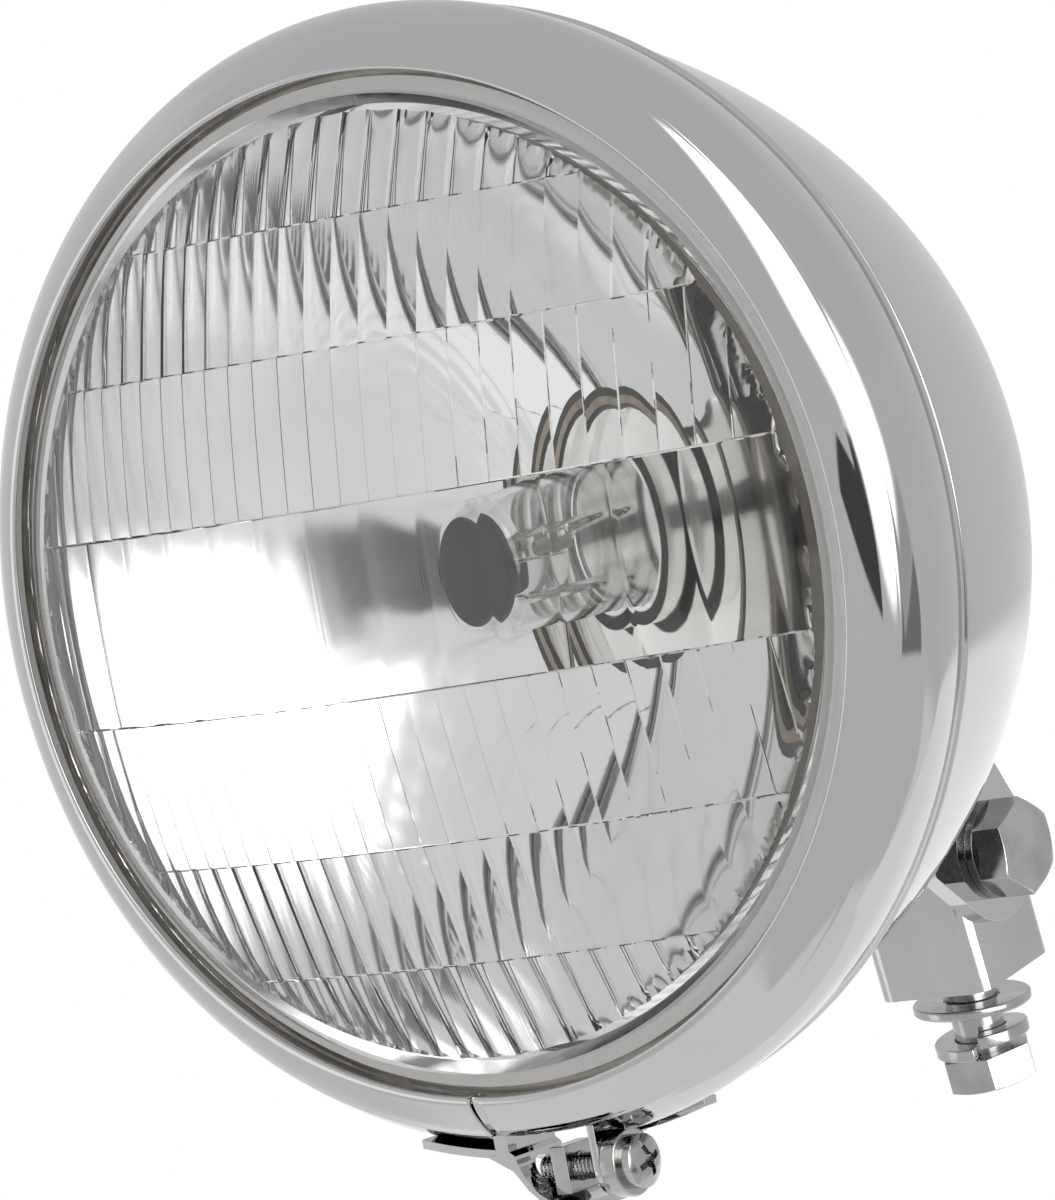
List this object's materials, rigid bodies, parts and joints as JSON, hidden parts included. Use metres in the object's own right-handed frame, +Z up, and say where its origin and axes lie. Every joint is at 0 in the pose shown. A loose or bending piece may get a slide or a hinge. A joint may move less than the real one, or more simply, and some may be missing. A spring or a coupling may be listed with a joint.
{
  "type": "round motorcycle headlight",
  "caption": "Round chromed motorcycle headlight: fluted glass light unit with a halogen bulb, split trim ring, deep bucket and a tilting bottom mount with its bolts.",
  "frame": {"origin": "middle of the mount block's bottom face, on the axis of the mount bolt", "axes": "+Z up with the lamp level, -Y the way the lamp shines, +X the rider's left"},
  "size_m": [0.1608, 0.1432, 0.1754],
  "materials": {
    "chrome": "polished",
    "satin_chrome": "satin",
    "zinc": "bright zinc",
    "dark_steel": "oiled",
    "spring_steel": "plain",
    "lens_glass": "clear",
    "bulb_glass": "clear with a black tip",
    "reflector_mirror": "vacuum coated",
    "sealant": "grey-brown",
    "filament": "tungsten",
    "bulb_metal": "nickel plate",
    "insulator": "moulded",
    "brass": "plain",
    "black_rubber": "matt"
  },
  "bodies": {
    "mount": {"mount_block": "satin_chrome", "mount_bolt": "zinc", "mount_flat_washer": "zinc", "mount_spring_washer": "zinc"},
    "head": {"bucket": "chrome", "trim_ring": "chrome", "ring_lug_right": "chrome", "ring_lug_left": "chrome", "clamp_screw": "zinc", "clamp_nut": "zinc", "clamp_collar": "zinc", "lens": "lens_glass", "rim_sealant": "sealant", "reflector": "reflector_mirror", "unit_clips": "spring_steel", "bulb_glass": "bulb_glass", "main_filament": "filament", "dip_filament": "filament", "filament_supports": "bulb_metal", "dip_shield": "bulb_metal", "bulb_base": "bulb_metal", "bulb_insulator": "insulator", "bulb_terminals": "brass", "bulb_spring": "spring_steel", "bulb_boot": "black_rubber", "wire_grommet": "black_rubber", "mount_bracket": "chrome", "pivot_bolt": "zinc", "pivot_washers": "dark_steel", "pivot_nut": "zinc"}
  },
  "joints": [
    {"name": "head_tilt", "type": "hinge", "parent": "mount", "child": "head", "pos_m": [0, -0.00685, 0.01955], "axis": [1, 0, 0], "range_deg": [-30, 30]}
  ]
}
